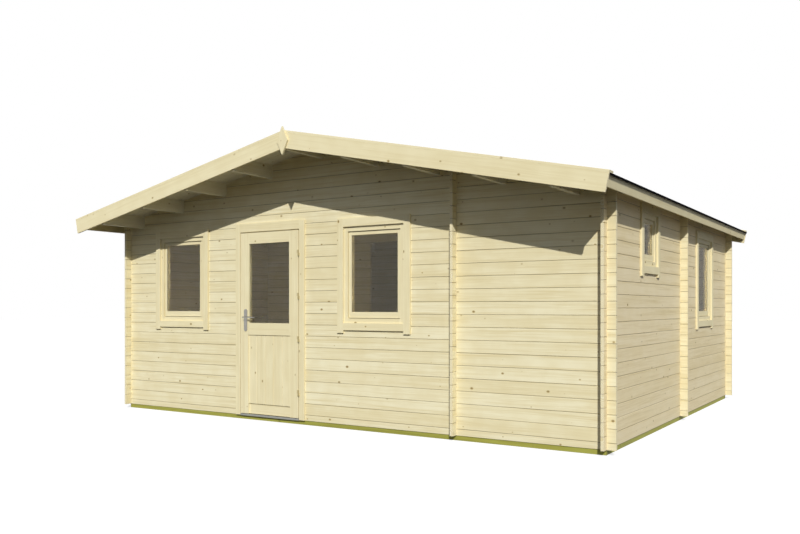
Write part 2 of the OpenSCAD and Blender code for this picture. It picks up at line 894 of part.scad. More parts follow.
// Plate and lever on one face of the door, drawn with the face at Y = 0 and the fitting on its front
module handle_set() {
    plate_z = lever_z - lever_above_plate;
    translate([handle_x, 0, plate_z]) rotate([90, 0, 0]) linear_extrude(plate_t) {
        square([plate_w, plate_h - plate_w], center = true);
        for (side = [-1, 1]) translate([0, side * (plate_h - plate_w) / 2]) circle(d = plate_w);
    }
    translate([handle_x, 0, lever_z]) rotate([90, 0, 0]) cylinder(r = lever_r, h = lever_reach);
    translate([handle_x, -lever_reach, lever_z]) sphere(r = lever_r);
    translate([handle_x, -lever_reach, lever_z]) rotate([0, 90, 0]) cylinder(r = lever_r, h = lever_l);
}

module door_handles() {
    color(satin_steel) above_beams() {
        translate([0, leaf_front, 0]) handle_set();
        translate([0, leaf_back, 0]) mirror([0, 1, 0]) handle_set();
    }
}

foundation_beams();
floor_joists();
floor();
front_wall_left();
front_wall_right();
front_gable();
rear_wall();
left_wall();
right_wall();
long_partition();
long_partition_head();
cross_partition();
cross_partition_gable();
ridge_purlin();
left_purlins();
right_purlins();
left_roof_boards();
right_roof_boards();
left_roof_felt();
right_roof_felt();
front_barge_boards();
rear_barge_boards();
front_cover_boards();
rear_cover_boards();
front_finial();
rear_finial();
left_eave_board();
right_eave_board();
window_casings();
window_frames();
window_sashes();
window_panes();
door_frame();
door_stops();
door_casing();
door_threshold();
hinge_pins();
door_leaf();
door_panel();
door_glass();
door_handles();
hinge_knuckles();
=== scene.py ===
"""Looks of the log cabin: finishes for its logs, boards, felt, glass and fittings, and a plain stage."""

import math
from collections import namedtuple

import bmesh
import bpy
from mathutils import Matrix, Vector


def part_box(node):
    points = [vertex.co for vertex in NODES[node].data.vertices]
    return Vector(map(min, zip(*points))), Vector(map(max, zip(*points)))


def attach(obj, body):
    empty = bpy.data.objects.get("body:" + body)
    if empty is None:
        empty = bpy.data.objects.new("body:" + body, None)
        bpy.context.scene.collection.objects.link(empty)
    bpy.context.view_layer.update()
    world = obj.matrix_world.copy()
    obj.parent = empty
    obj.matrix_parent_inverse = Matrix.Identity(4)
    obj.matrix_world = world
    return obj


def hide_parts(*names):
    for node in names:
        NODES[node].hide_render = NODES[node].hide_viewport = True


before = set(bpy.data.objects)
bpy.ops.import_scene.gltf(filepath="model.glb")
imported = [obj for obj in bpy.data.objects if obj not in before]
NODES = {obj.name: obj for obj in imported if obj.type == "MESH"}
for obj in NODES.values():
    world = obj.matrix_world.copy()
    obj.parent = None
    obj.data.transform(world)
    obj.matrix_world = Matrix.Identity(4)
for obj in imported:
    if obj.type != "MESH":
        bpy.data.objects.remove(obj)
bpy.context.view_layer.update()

bl_info = {
    "name": "Log cabin",
    "version": (1, 0, 0),
    "blender": (4, 5, 0),
    "location": "View3D > Sidebar > Cabin",
    "description": "Dresses the log cabin's frame in spruce, felt, glass and steel",
    "category": "Object",
}

CABIN, DOOR = "cabin", "door"

# Walls whose logs run side to side, and walls whose logs run front to back
LOGS_ACROSS = (
    "front_wall_left", "front_wall_right", "front_gable", "rear_wall", "cross_partition",
    "cross_partition_gable",
)
LOGS_DEEP = ("left_wall", "right_wall", "long_partition", "long_partition_head")

ROOF_TRIM = (
    "front_barge_boards", "rear_barge_boards", "front_cover_boards", "rear_cover_boards", "left_eave_board",
    "right_eave_board",
)
FINIALS = ("front_finial", "rear_finial")
PURLINS = ("ridge_purlin", "left_purlins", "right_purlins")
GROUND_FRAME = ("foundation_beams", "floor_joists")

# Radius and height of turned fittings from their middle outwards, as shares of their radius
SCREW = ((0, 0.3), (0.35, 0.3), (0.42, 0.6), (0.8, 0.5), (1, 0.2), (1, -0.1), (0, -0.1))
LOCK = ((0, 0.14), (0.5, 0.14), (0.54, 0.2), (0.9, 0.24), (1, 0.14), (1, -0.05), (0, -0.05))

# Steps round a turned fitting, and over a rounded arris
TURN_STEPS = 24
ARRIS_STEPS = 2

AXES = (Vector((1, 0, 0)), Vector((0, 1, 0)), Vector((0, 0, 1)))
WELD = 1e-5
FLAT = math.radians(0.5)
SHARP = math.radians(30)

# Least share of a face's normal that points up, or along a given direction
UPWARD = 0.5
FACING = 0.9

# Seeds set aside for each node, each frame in a node and each log wall, and the range for boards in a row
NODE_SEEDS = 50
FRAME_SEEDS = 4
WALL_SEEDS = 31.0
ROW_SEEDS = 900.0
PANEL_SEED = 7

# Wood: shift of the patterns for each seed, and how far streaks and knots are drawn out along the grain
SEED_SHIFT = (3.17, 7.71, 5.39)
GRAIN_DRAW = 0.975
KNOT_DRAW = 0.7

# Wood: streak strength that starts to darken a surface, and that darkens it fully on logs and on boards
STREAK_START = 0.2
LOG_STREAK = 0.42
BOARD_STREAK = 0.5

# Wood: noise between which sapwood turns to heartwood, share of places with no knot, strength of the faintest
HEARTWOOD = (0.35, 0.65)
KNOTLESS = 0.3
FAINT_KNOT = 0.25

# Sawn ends: half width and scale of a log's rings, and the squared share of the normal along the grain there
RING_CELL = 0.07
RING_SCALE = 40.0
SAWN = (0.6, 0.8)

# Log seams: figure between which a seam goes from its faintest to its full strength
SEAM_FIGURE = (0.35, 0.6)
FAINT_SEAM = 0.55

# Felt: least share of granules on worn patches, and the upward share of the normal where granules start
FELT_WEAR = 0.75
FELT_UPPER = (0.85, 0.95)

# Change of a metal's roughness either way along its lines, and width of the camera's sensor in mm
ROUGH_SWING = 0.08
SENSOR_W = 36

# Colours of one kind of wood
Tones = namedtuple("Tones", "pale warm late knot heart end ring seam")


def linear(code):
    """Linear colour of an sRGB hex code, with full alpha."""
    parts = [int(code[i:i + 2], 16) / 255 for i in (1, 3, 5)]
    return [c / 12.92 if c <= 0.04045 else ((c + 0.055) / 1.055) ** 2.4 for c in parts] + [1.0]


def length(name, description, default):
    """Property for a size in metres."""
    return bpy.props.FloatProperty(
        name=name, description=description, default=default, min=0, precision=4, unit="LENGTH"
    )


def colour(name, description, code):
    """Property for a colour, given as an sRGB hex code."""
    return bpy.props.FloatVectorProperty(
        name=name, description=description, default=linear(code), size=4, min=0, max=1, subtype="COLOR"
    )


def scalar(name, description, default, subtype="NONE"):
    """Property for a plain number or an angle."""
    return bpy.props.FloatProperty(name=name, description=description, default=default, subtype=subtype)


def triple(name, description, default, subtype="TRANSLATION"):
    """Property for a place or a direction."""
    return bpy.props.FloatVectorProperty(name=name, description=description, default=default, subtype=subtype)


class CabinSizes(bpy.types.PropertyGroup):
    """Sizes of the cabin's fine pieces and of its materials' patterns."""

    course_h: length("Course", "Height of one course of logs", 0.114)
    arris: length("Arris", "Rounding of the boards' planed edges", 0.0012)
    roof_board_w: length("Roof board", "Width of a roof board", 0.096)
    floor_board_w: length("Floor board", "Width of a floor board", 0.121)
    panel_board_w: length("Panel board", "Width of a board in the door's lower panel", 0.13)
    panel_gap: length("Panel gap", "Open groove over and under the door panel's boards", 0.008)
    joint: length("Board joint", "Gap between boards that lie side by side", 0.001)
    joint_bevel: length("Joint bevel", "Bevel along both sides of a board joint", 0.004)
    screw_r: length("Screw", "Radius of a screw head in a handle plate", 0.0038)
    screw_inset: length("Screw inset", "From a handle plate's end to its screw", 0.016)
    lock_r: length("Lock", "Radius of the lock cylinder", 0.0085)
    lock_drop: length("Lock drop", "From a handle plate's middle down to the lock cylinder", 0.04)
    felt_w: length("Felt", "Width of a strip of roofing felt that shows", 0.8)
    felt_t: length("Felt thickness", "Rise of a strip of felt over the next one", 0.003)
    felt_ease: length("Felt ease", "Length over which a lapped strip of felt sinks", 0.06)
    ridge_w: length("Ridge strip", "Width of the ridge's felt strip on each slope", 0.25)
    grain_w: length("Grain", "Width of the finer streaks in the wood", 0.011)
    figure_w: length("Figure", "Width of the broad streaks in the wood", 0.05)
    patch: length("Patch", "Length of the warmer patches in the wood", 0.2)
    knot_gap: length("Knots", "Mean distance between places where a knot may lie", 0.17)
    knot_r: length("Knot", "Radius of the largest knots", 0.015)
    seam: length("Log seam", "Half width of the dark line between two logs", 0.0035)
    grain_depth: length("Grain depth", "Depth of the finer streaks in the wood", 0.0004)
    grit: length("Grit", "Distance between granules on the felt", 0.003)
    grit_depth: length("Grit depth", "Height of the granules on the felt", 0.001)
    felt_patch: length("Felt patch", "Length of the worn patches on the felt", 0.3)
    film_patch: length("Film patch", "Length of the patches of film on the glass", 0.2)
    steel_line: length("Steel line", "Width of the fine lines in the steel", 0.001)
    mill_line: length("Mill line", "Width of the rolled lines in the aluminium", 0.004)
    line_depth: length("Line depth", "Depth of the fine lines in all metals", 0.0001)


class CabinColours(bpy.types.PropertyGroup):
    """Colours of the cabin's materials."""

    sapwood: colour("Sapwood", "Pale ground colour of the spruce", "#EBE2BE")
    warm: colour("Warm log", "Tone of the warmest logs and boards", "#E0D3A8")
    planed: colour("Planed board", "Pale ground colour of the boards", "#E9DEB6")
    latewood: colour("Latewood", "Darker streaks of the spruce", "#D9CA9C")
    # The right wall's tones are the spruce made warmer: painted warm light, standing in for the warmer light on
    # that sunlit side
    painted_sidelight_pale: colour("Side log", "Ground colour of the right wall's redder logs", "#E9DAB5")
    painted_sidelight_warm: colour("Side warm log", "Tone of the reddest logs of the right wall", "#E4D3A8")
    painted_sidelight_late: colour("Side latewood", "Darker streaks of the right wall's logs", "#D8C595")
    # Purlin and roof board tones are the spruce made paler and cooler: a painted shade tint, standing in for the
    # cooler light in the shade under the roof
    shade_tint_pale: colour("Roof board", "Ground colour of the paler purlins and roof boards", "#E8E2CA")
    shade_tint_warm: colour("Warm roof board", "Tone of the warmest purlins and roof boards", "#DFD8BC")
    shade_tint_late: colour("Roof latewood", "Darker streaks of the purlins and roof boards", "#D6CDAD")
    knot: colour("Knot", "Rim of a knot", "#B7A16C")
    knot_heart: colour("Knot heart", "Middle of a knot", "#7C6942")
    seam: colour("Log seam", "Dark line between two logs", "#6E5E3C")
    end_grain: colour("End grain", "Sawn ends of logs and boards", "#ECE3C3")
    end_ring: colour("End rings", "Growth rings on sawn ends", "#DACA9A")
    treated: colour("Treated pine", "Olive green of the impregnated beams", "#A5A54C")
    treated_warm: colour("Treated warm", "Tone of the brownest impregnated beams", "#A09A45")
    treated_streak: colour("Treated streak", "Darker streaks of the impregnated beams", "#7C7B33")
    felt: colour("Felt", "Bitumen between the felt's granules", "#0D0D0D")
    granule: colour("Granule", "Slate granules on the felt's upper side", "#454542")
    glass: colour("Glass", "Clear float glass", "#F4EEDD")
    glass_film: colour("Glass film", "Faint uneven film on the glass", "#EAE2CC")
    steel: colour("Steel", "Satin stainless steel", "#B3B0A8")
    steel_line: colour("Steel line", "Brushed lines in the steel", "#86847E")
    plated: colour("Plated steel", "Yellowish zinc plating of the hinges", "#C8BA8E")
    plated_line: colour("Plated line", "Turned lines in the hinges' plating", "#A4966C")
    aluminium: colour("Aluminium", "Mill-finished aluminium", "#A3A39D")
    aluminium_worn: colour("Worn aluminium", "Trodden patches of the aluminium", "#8B8B85")


class CabinStage(bpy.types.PropertyGroup):
    """Camera, light and floor."""

    camera_place: triple("Camera", "Place of the camera", (4.9897, -8.596, 1.2004))
    camera_turn: scalar("Camera turn", "Turn from looking along +Y", math.radians(32.634), "ANGLE")
    lens: scalar("Lens", "Focal length in mm, on the sensor's width", 36.24)
    shift_y: scalar("Rise", "Upward shift of the frame, as a share of its width", 0.0493)
    sun_way: triple("Sun", "Direction in which the sunlight travels", (-0.475, 0.712, -0.508), "DIRECTION")
    sun: scalar("Sun strength", "Strength of the sun lamp", 3.52)
    sun_spread: scalar("Sun spread", "Angle across the sun's disc", math.radians(0.6), "ANGLE")
    fill: scalar("Fill", "Strength of the soft light all round", 0.46)
    fill_tone: colour("Fill tone", "Colour of the soft light all round", "#E8F0FF")
    card_low: triple("Card", "Lowest corner of the grey card that the side windows mirror", (3.3, 9.0, 0.0))
    card_high: triple("Card top", "Highest corner of the grey card", (8.3, 9.02, 5.0))
    card_patch: length("Card mottle", "Length of the patches on the grey card", 2.0)
    card_tone: colour("Card tone", "Bluish tone of the grey card", "#525C72")
    card_grey: scalar("Card grey", "Plain grey of the grey card", 0.1)
    floor_reach: length("Floor reach", "Half width of the floor", 60.0)
    floor_drop: length("Floor drop", "From the cabin's underside down to the floor", 0.001)
    floor_tone: scalar("Floor", "Paleness of the floor", 0.48)
    floor_glow: scalar("Floor glow", "Light of the floor itself, as the camera sees it", 0.6)
    floor_bounce: scalar("Floor bounce", "Paleness of the floor for the light that it sends up", 0.04)


def add(tree, kind, links=None, **settings):
    """Adds a node. Links gives its inputs sockets, nodes or plain values, and settings its own properties."""
    node = tree.nodes.new(kind)
    for name, value in settings.items():
        setattr(node, name, value)
    for key, value in (links or {}).items():
        if isinstance(value, bpy.types.Node):
            value = value.outputs[0]
        if isinstance(value, bpy.types.NodeSocket):
            tree.links.new(value, node.inputs[key])
        else:
            node.inputs[key].default_value = value
    return node


def maths(tree, operation, *values, clamp=False):
    """Socket with the result of an operation on numbers."""
    links = dict(enumerate(values))
    return add(tree, "ShaderNodeMath", links, operation=operation, use_clamp=clamp).outputs[0]


def vectors(tree, operation, *values):
    """Socket with the result of an operation on vectors."""
    links = dict(enumerate(values))
    return add(tree, "ShaderNodeVectorMath", links, operation=operation).outputs["Vector"]


def dot(tree, first, second):
    """Socket with the dot product of two vectors."""
    node = add(tree, "ShaderNodeVectorMath", {0: first, 1: second}, operation="DOT_PRODUCT")
    return node.outputs["Value"]


def scaled(tree, vector, factor):
    """Socket with a vector times a number."""
    node = add(tree, "ShaderNodeVectorMath", {0: vector, "Scale": factor}, operation="SCALE")
    return node.outputs["Vector"]


def ranged(tree, value, low, high, start=0.0, end=1.0):
    """Socket that goes from start to end while a value goes from low to high."""
    links = {"Value": value, "From Min": low, "From Max": high, "To Min": start, "To Max": end}
    return add(tree, "ShaderNodeMapRange", links).outputs[0]


def blend(tree, share, first, second):
    """Socket with a colour between two others."""
    return add(tree, "ShaderNodeMix", {0: share, 6: first, 7: second}, data_type="RGBA").outputs[2]


def noise(tree, place, width, detail, **more):
    """Socket with noise whose features have the given width."""
    links = {"Vector": place, "Scale": 1 / width, "Detail": detail, **more}
    return add(tree, "ShaderNodeTexNoise", links).outputs[0]


def attribute(tree, name, output):
    """Socket with an attribute that the mesh keeps."""
    return add(tree, "ShaderNodeAttribute", attribute_name=name).outputs[output]


def grey(level):
    """Opaque grey of that linear level."""
    return [level] * 3 + [1.0]


def new_material(name):
    """Empty material with that name, and its node tree."""
    material = bpy.data.materials.new(name)
    material.use_nodes = True
    material.node_tree.nodes.clear()
    return material, material.node_tree


def finish_surface(tree, shader, height=None, depth=0.0):
    """Ends a material in a Principled shader with the given inputs, and a bump of that height and depth."""
    inputs = dict(shader)
    if height is not None:
        inputs["Normal"] = add(tree, "ShaderNodeBump", {"Height": height, "Distance": depth, "Strength": 1.0})
    principled = add(tree, "ShaderNodeBsdfPrincipled", inputs)
    add(tree, "ShaderNodeOutputMaterial", {"Surface": principled})


def knots(tree, shade, plane, sizes, tones):
    """Colour with oval knots in the plane of a board's face, some of no size and most of them faint."""
    links = {"Vector": plane, "Scale": 1 / sizes.knot_gap}
    cells = add(tree, "ShaderNodeTexVoronoi", links, voronoi_dimensions="2D").outputs
    chance = add(tree, "ShaderNodeSeparateColor", {0: cells["Color"]}).outputs
    largest = sizes.knot_r / sizes.knot_gap
    step = largest / 3
    size = ranged(tree, chance["Red"], KNOTLESS, 1.0, 0.0, largest)
    inside = maths(tree, "SUBTRACT", size, cells["Distance"])
    deep = maths(tree, "SUBTRACT", inside, step)
    strength = ranged(tree, chance["Green"], 0.0, 1.0, FAINT_KNOT, 1.0)
    for depth, tone in ((inside, tones.knot), (deep, tones.heart)):
        spot = maths(tree, "DIVIDE", depth, step, clamp=True)
        shade = blend(tree, maths(tree, "MULTIPLY", spot, strength), shade, tone)
    return shade


def sawn_ends(tree, shade, streaks, facing, tones):
    """Colour with growth rings where the surface cuts the grain across."""
    cell = vectors(tree, "WRAP", streaks, (RING_CELL,) * 3, (-RING_CELL,) * 3)
    rings = add(
        tree, "ShaderNodeTexWave", {"Vector": cell, "Scale": RING_SCALE, "Distortion": 0.6},
        wave_type="RINGS", rings_direction="SPHERICAL",
    )
    end = blend(tree, rings.outputs["Fac"], tones.end, tones.ring)
    square = maths(tree, "MULTIPLY", facing, facing)
    return blend(tree, ranged(tree, square, *SAWN), shade, end)


def log_seams(tree, shade, level, share, figure, tones):
    """Colour with a dark line of uneven strength at each seam. Level counts the courses from the lowest."""
    low = maths(tree, "FRACT", level)
    near = maths(tree, "MINIMUM", low, maths(tree, "SUBTRACT", 1.0, low))
    line = ranged(tree, near, 0.0, share, 1.0, 0.0)
    strength = ranged(tree, figure, *SEAM_FIGURE, FAINT_SEAM, 1.0)
    return blend(tree, maths(tree, "MULTIPLY", line, strength), shade, tones.seam)


def wood(name, sizes, tones, along=None, out=None, course=None):
    """Planed softwood: fine streaks along the grain, small brown knots, rings on sawn ends, a tone for each piece.

    Boards keep their grain direction, face and seed as attributes. Log walls give the direction and the face as
    plain vectors, and course as the height of their lowest seam and of one log.
    """
    material, tree = new_material(name)
    coordinates = add(tree, "ShaderNodeTexCoord").outputs
    place = coordinates["Object"]
    if course is None:
        along = attribute(tree, "along", "Vector")
        out = attribute(tree, "out", "Vector")
        seed = attribute(tree, "seed", "Fac")
    else:
        height = add(tree, "ShaderNodeSeparateXYZ", {0: place}).outputs["Z"]
        level = maths(tree, "DIVIDE", maths(tree, "SUBTRACT", height, course[0]), course[1])
        wall = add(tree, "ShaderNodeObjectInfo").outputs["Object Index"]
        seed = maths(tree, "MULTIPLY_ADD", wall, WALL_SEEDS, maths(tree, "FLOOR", level))
    shift = scaled(tree, SEED_SHIFT, seed)
    run = dot(tree, place, along)

    # Coordinates drawn together along the grain, so that every pattern becomes a streak
    pull = scaled(tree, along, maths(tree, "MULTIPLY", run, GRAIN_DRAW))
    streaks = vectors(tree, "ADD", vectors(tree, "SUBTRACT", place, pull), shift)
    grain = noise(tree, streaks, sizes.grain_w, 3.0, Roughness=0.6, Distortion=0.6)
    figure = noise(tree, streaks, sizes.figure_w, 2.0, Roughness=0.5, Distortion=0.9)
    fullest = BOARD_STREAK if course is None else LOG_STREAK
    dark = ranged(tree, maths(tree, "MULTIPLY", grain, figure), STREAK_START, fullest)

    # Ground tone of the whole piece, and patches of heartwood within it
    tone = add(tree, "ShaderNodeTexWhiteNoise", {"W": seed}, noise_dimensions="1D").outputs["Value"]
    patch = noise(tree, vectors(tree, "ADD", place, shift), sizes.patch, 2.0)
    heartwood = ranged(tree, patch, *HEARTWOOD)
    warmth = add(tree, "ShaderNodeMix", {0: 0.5, 2: tone, 3: heartwood}, data_type="FLOAT").outputs[0]
    shade = blend(tree, dark, blend(tree, warmth, tones.pale, tones.warm), tones.late)

    across = dot(tree, place, vectors(tree, "CROSS_PRODUCT", along, out))
    longer = maths(tree, "MULTIPLY", run, KNOT_DRAW)
    plane = add(tree, "ShaderNodeCombineXYZ", {"X": longer, "Y": across})
    shade = knots(tree, shade, vectors(tree, "ADD", plane, shift), sizes, tones)
    shade = sawn_ends(tree, shade, streaks, dot(tree, coordinates["Normal"], along), tones)
    if course is not None:
        shade = log_seams(tree, shade, level, sizes.seam / course[1], figure, tones)

    rough = ranged(tree, dark, 0.0, 1.0, 0.62, 0.5)
    planed = {"Base Color": shade, "Roughness": rough, "IOR": 1.5, "Specular IOR Level": 0.25}
    finish_surface(tree, planed, grain, sizes.grain_depth)
    return material


def felt(name, sizes, colours):
    """Bitumen felt: matt black at its cut edges, with slate granules and faint worn patches on its upper side."""
    material, tree = new_material(name)
    coordinates = add(tree, "ShaderNodeTexCoord").outputs
    place = coordinates["Object"]
    grit = add(tree, "ShaderNodeTexVoronoi", {"Vector": place, "Scale": 1 / sizes.grit}).outputs["Distance"]
    worn = ranged(tree, noise(tree, place, sizes.felt_patch, 3.0), 0.0, 1.0, FELT_WEAR, 1.0)
    upward = add(tree, "ShaderNodeSeparateXYZ", {0: coordinates["Normal"]}).outputs["Z"]
    upper = ranged(tree, upward, *FELT_UPPER)
    strewn = maths(tree, "MULTIPLY", maths(tree, "MULTIPLY", grit, worn), upper)
    shade = blend(tree, strewn, colours.felt, colours.granule)
    dull = {"Base Color": shade, "Roughness": 0.95, "IOR": 1.5, "Specular IOR Level": 0.02}
    finish_surface(tree, dull, grit, sizes.grit_depth)
    return material


def glass(name, sizes, colours):
    """Coated float glass: clear and smooth, weak in reflection, with a faint warm film that catches the sun."""
    material, tree = new_material(name)
    place = add(tree, "ShaderNodeTexCoord").outputs["Object"]
    shade = blend(tree, noise(tree, place, sizes.film_patch, 2.0), colours.glass, colours.glass_film)
    coated = {"Base Color": shade, "Roughness": 0.0, "IOR": 1.2, "Transmission Weight": 0.96}
    finish_surface(tree, coated)
    return material


def metal(name, sizes, tones, line, stretch, rough):
    """Bare metal: a soft mirror broken by fine lines of the given width, stretched along each axis."""
    material, tree = new_material(name)
    place = add(tree, "ShaderNodeTexCoord").outputs["Object"]
    lines = noise(tree, vectors(tree, "MULTIPLY", place, stretch), line, 3.0)
    gloss = ranged(tree, lines, 0.0, 1.0, rough - ROUGH_SWING, rough + ROUGH_SWING)
    bare = {"Base Color": blend(tree, lines, *tones), "Roughness": gloss, "Metallic": 1.0}
    finish_surface(tree, bare, lines, sizes.line_depth)
    return material


def floor_finish(name, stage):
    """Pale studio floor: white to the camera with the cabin's shadow on it, and dim to the light it sends up."""
    material, tree = new_material(name)
    matt = add(tree, "ShaderNodeBsdfDiffuse", {"Color": grey(stage.floor_tone)})
    glow = add(tree, "ShaderNodeEmission", {"Strength": stage.floor_glow})
    pale = add(tree, "ShaderNodeAddShader", {0: matt, 1: glow})
    dim = add(tree, "ShaderNodeBsdfDiffuse", {"Color": grey(stage.floor_bounce)})
    either = add(tree, "ShaderNodeMixShader", {0: seen(tree), 1: dim, 2: pale})
    add(tree, "ShaderNodeOutputMaterial", {"Surface": either})
    return material


def card_finish(name, stage):
    """Matt grey card with a faint mottle, dark enough for glass to show as glass."""
    material, tree = new_material(name)
    place = add(tree, "ShaderNodeTexCoord").outputs["Object"]
    mottle = noise(tree, place, stage.card_patch, 2.0)
    shade = blend(tree, mottle, stage.card_tone, grey(stage.card_grey))
    matt = add(tree, "ShaderNodeBsdfDiffuse", {"Color": shade})
    add(tree, "ShaderNodeOutputMaterial", {"Surface": matt})
    return material


def seen(tree):
    """Socket that is 1 for what the camera sees, straight, mirrored or through glass, and 0 for other light."""
    path = add(tree, "ShaderNodeLightPath").outputs
    shown = path["Is Camera Ray"]
    for kind in ("Is Glossy Ray", "Is Transmission Ray"):
        shown = maths(tree, "MAXIMUM", shown, path[kind])
    return shown


def named_material(name):
    """Material with that name, made when it is first asked for."""
    if name in bpy.data.materials:
        return bpy.data.materials[name]
    sizes = bpy.context.scene.cabin_sizes
    colours = bpy.context.scene.cabin_colours
    spruce = Tones(
        colours.sapwood, colours.warm, colours.latewood, colours.knot, colours.knot_heart, colours.end_grain,
        colours.end_ring, colours.seam,
    )
    # Warmer copy of the spruce for the right wall: painted warm light on that side
    sidelit_spruce = spruce._replace(pale=colours.painted_sidelight_pale, warm=colours.painted_sidelight_warm, late=colours.painted_sidelight_late)
    # Paler, cooler copy of the spruce for the purlins and roof boards: a painted shade tint
    shade_tinted_spruce = spruce._replace(pale=colours.shade_tint_pale, warm=colours.shade_tint_warm, late=colours.shade_tint_late)
    pine = Tones(colours.treated, colours.treated_warm, *[colours.treated_streak] * 6)
    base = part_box("left_wall")[0].z
    half_course = base + sizes.course_h / 2
    woods = {
        "spruce_logs_across": (spruce, AXES[0], AXES[1], (half_course, sizes.course_h)),
        "spruce_logs_deep": (spruce, AXES[1], AXES[0], (base, sizes.course_h)),
        # The right wall's logs take the warmer copy of the spruce, with painted warm light
        "spruce_logs_right": (sidelit_spruce, AXES[1], AXES[0], (base, sizes.course_h)),
        "planed_spruce": (spruce._replace(pale=colours.planed),),
        "shade_tinted_spruce": (shade_tinted_spruce,),
        "treated_pine": (pine,),
    }
    metals = {
        "brushed_stainless": ((colours.steel, colours.steel_line), sizes.steel_line, (1, 1, 0.02), 0.32),
        "plated_steel": ((colours.plated, colours.plated_line), sizes.steel_line, (1, 1, 4), 0.4),
        "mill_aluminium": ((colours.aluminium, colours.aluminium_worn), sizes.mill_line, (0.05, 1, 1), 0.45),
    }
    if name in woods:
        return wood(name, sizes, *woods[name])
    if name in metals:
        return metal(name, sizes, *metals[name])
    return felt(name, sizes, colours) if name == "bitumen_felt" else glass(name, sizes, colours)


def paint(node, name):
    """Gives a CAD node its finish as its only material."""
    piece = NODES[node]
    piece.data.materials.clear()
    piece.data.materials.append(named_material(name))


def merged(node):
    """Bmesh copy of a node with its triangles joined into whole faces."""
    shape = bmesh.new()
    shape.from_mesh(NODES[node].data)
    bmesh.ops.remove_doubles(shape, verts=shape.verts, dist=WELD)
    bmesh.ops.dissolve_limit(shape, angle_limit=FLAT, verts=shape.verts, edges=shape.edges)
    return shape


def islands(shape):
    """Groups of faces that hang together, one for each board."""
    reached = set()
    groups = []
    for first in shape.faces:
        if first in reached:
            continue
        reached.add(first)
        group = [first]
        for face in group:
            for edge in face.edges:
                for other in edge.link_faces:
                    if other not in reached:
                        reached.add(other)
                        group.append(other)
        groups.append(group)
    return groups


def top_face(shape):
    """Largest face of a shape that looks up."""
    return max(shape.faces, key=lambda face: (face.normal.z > UPWARD) * face.calc_area())


def first_seed(node):
    """Seed of a node's first board."""
    return NODE_SEEDS * sorted(NODES).index(node)


def soften(shape, arris):
    """Rounds the sharp edges of a shape."""
    sharp = [edge for edge in shape.edges if edge.is_manifold and edge.calc_face_angle() > SHARP]
    bmesh.ops.bevel(
        shape, geom=sharp, offset=arris, offset_type="OFFSET", segments=ARRIS_STEPS, profile=0.5,
        affect="EDGES", clamp_overlap=True,
    )


def cut(shape, axis, place):
    """Cuts the faces of a bmesh at a place along an axis."""
    whole = shape.verts[:] + shape.edges[:] + shape.faces[:]
    bmesh.ops.bisect_plane(shape, geom=whole, plane_co=AXES[axis] * place, plane_no=AXES[axis])


def spacing(low, high, width):
    """Number of boards of about that width that fill the space between two places, and their pitch."""
    count = round((high - low) / width)
    return count, (high - low) / count


def as_mesh(shape, name):
    """Mesh with that name from a bmesh, which it frees."""
    mesh = bpy.data.meshes.new(name)
    shape.to_mesh(mesh)
    shape.free()
    return mesh


def grain_layers(shape):
    """Layers for each face's grain direction, board face and seed."""
    return (
        shape.faces.layers.float_vector.new("along"),
        shape.faces.layers.float_vector.new("out"),
        shape.faces.layers.float.new("seed"),
    )


def settle(shape, name, body, finish, nodes):
    """Object from a bmesh, with its finish, that rides on a body in place of the given nodes."""
    shape.normal_update()
    return present(bpy.data.objects.new(name, as_mesh(shape, name)), body, finish, nodes)


def present(piece, body, finish, nodes):
    """Puts a finished piece in the scene on its body, in place of the given nodes."""
    if piece.name not in bpy.context.scene.collection.objects:
        bpy.context.scene.collection.objects.link(piece)
    piece.data.materials.clear()
    piece.data.materials.append(named_material(finish))
    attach(piece, body)
    if nodes:
        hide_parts(*nodes)
    return piece


def boards(node, body, finish, grain=None):
    """Piece in place of a node of loose boards, with softened arrises and grain along each board."""
    shape = merged(node)
    soften(shape, bpy.context.scene.cabin_sizes.arris)
    shape.normal_update()
    along, out, seed = grain_layers(shape)
    first = first_seed(node)
    for number, faces in enumerate(islands(shape)):
        edges = [edge for face in faces for edge in face.edges]
        longest = max(edges, key=lambda edge: edge.calc_length())
        broad = max(faces, key=lambda face: face.calc_area())
        direction = grain or (longest.verts[1].co - longest.verts[0].co).normalized()
        for face in faces:
            face[along] = direction
            face[out] = broad.normal
            face[seed] = first + number
    return settle(shape, "planed_" + node, body, finish, [node])


def span(points, axis):
    """Lowest and highest place of some points along an axis."""
    places = [point[axis] for point in points]
    return min(places), max(places)


def framed(node, body, finish):
    """Piece in place of a node of joined frames: upright grain in the stiles, level grain in the rails."""
    shape = merged(node)
    frames = []
    for faces in islands(shape):
        points = [vert.co.copy() for face in faces for vert in face.verts]
        spans = [span(points, axis) for axis in (0, 1)]
        level = 0 if spans[0][1] - spans[0][0] > spans[1][1] - spans[1][0] else 1
        places = sorted({round(point[level], 5) for point in points})
        middle = len(places) // 2
        centre = sum(points, Vector()) / len(points)
        frames.append((centre, level, places[middle - 1], places[middle]))
    for _, level, low, high in frames:
        for place in (low, high):
            cut(shape, level, place)
    soften(shape, bpy.context.scene.cabin_sizes.arris)
    shape.normal_update()
    along, out, seed = grain_layers(shape)
    first = first_seed(node)
    for faces in islands(shape):
        points = [vert.co for face in faces for vert in face.verts]
        middle = sum(points, Vector()) / len(points)
        number = min(range(len(frames)), key=lambda index: (frames[index][0] - middle).length)
        level, low, high = frames[number][1:]
        height = sum(span(points, 2)) / 2
        for face in faces:
            spot = face.calc_center_median()
            rail = low < spot[level] < high
            if rail:
                member = 2 if spot.z > height else 3
            else:
                member = 0 if spot[level] < low + WELD else 1
            face[along] = AXES[level] if rail else AXES[2]
            face[out] = AXES[1 - level]
            face[seed] = first + FRAME_SEEDS * number + member
    return settle(shape, "planed_" + node, body, finish, [node])


